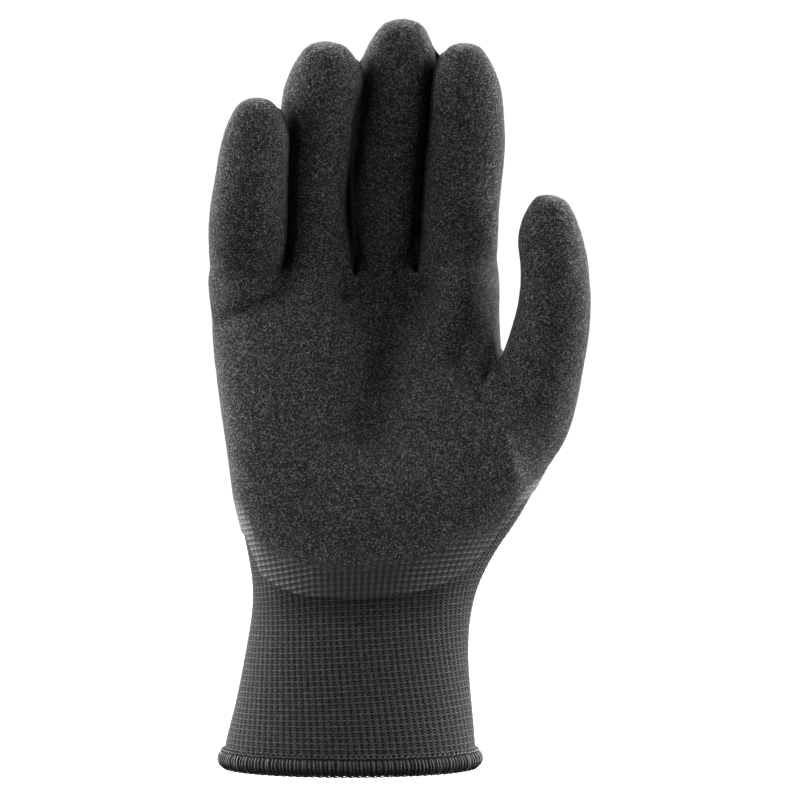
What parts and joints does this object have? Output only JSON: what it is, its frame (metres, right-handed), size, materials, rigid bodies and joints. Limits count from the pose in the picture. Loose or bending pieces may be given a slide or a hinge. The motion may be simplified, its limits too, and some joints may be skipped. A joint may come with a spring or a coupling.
{
  "type": "insulated nitrile coated glove",
  "caption": "Right-hand knitted winter work glove in the form of a worn hand, its palm, thumb and fingers dipped in a sandy nitrile skin, with a long knit cuff and an overlocked hem.",
  "frame": {"origin": "middle of the wrist opening, level with the lower edge of the hem", "axes": "+Z towards the fingertips, -Y out of the palm, +X towards the thumb"},
  "size_m": [0.127, 0.0687, 0.2502],
  "materials": {
    "knit": "ribbed seamless knit in near-black yarn, matt with a soft sheen",
    "coating": "sandy foamed nitrile, matt, with a smoother and glossier band along its lower edge",
    "hem": "overlocked black thread, slightly glossy"
  },
  "bodies": {
    "root": {"knit_shell": "knit", "nitrile_coating": "coating", "cuff_hem": "hem"}
  },
  "joints": []
}
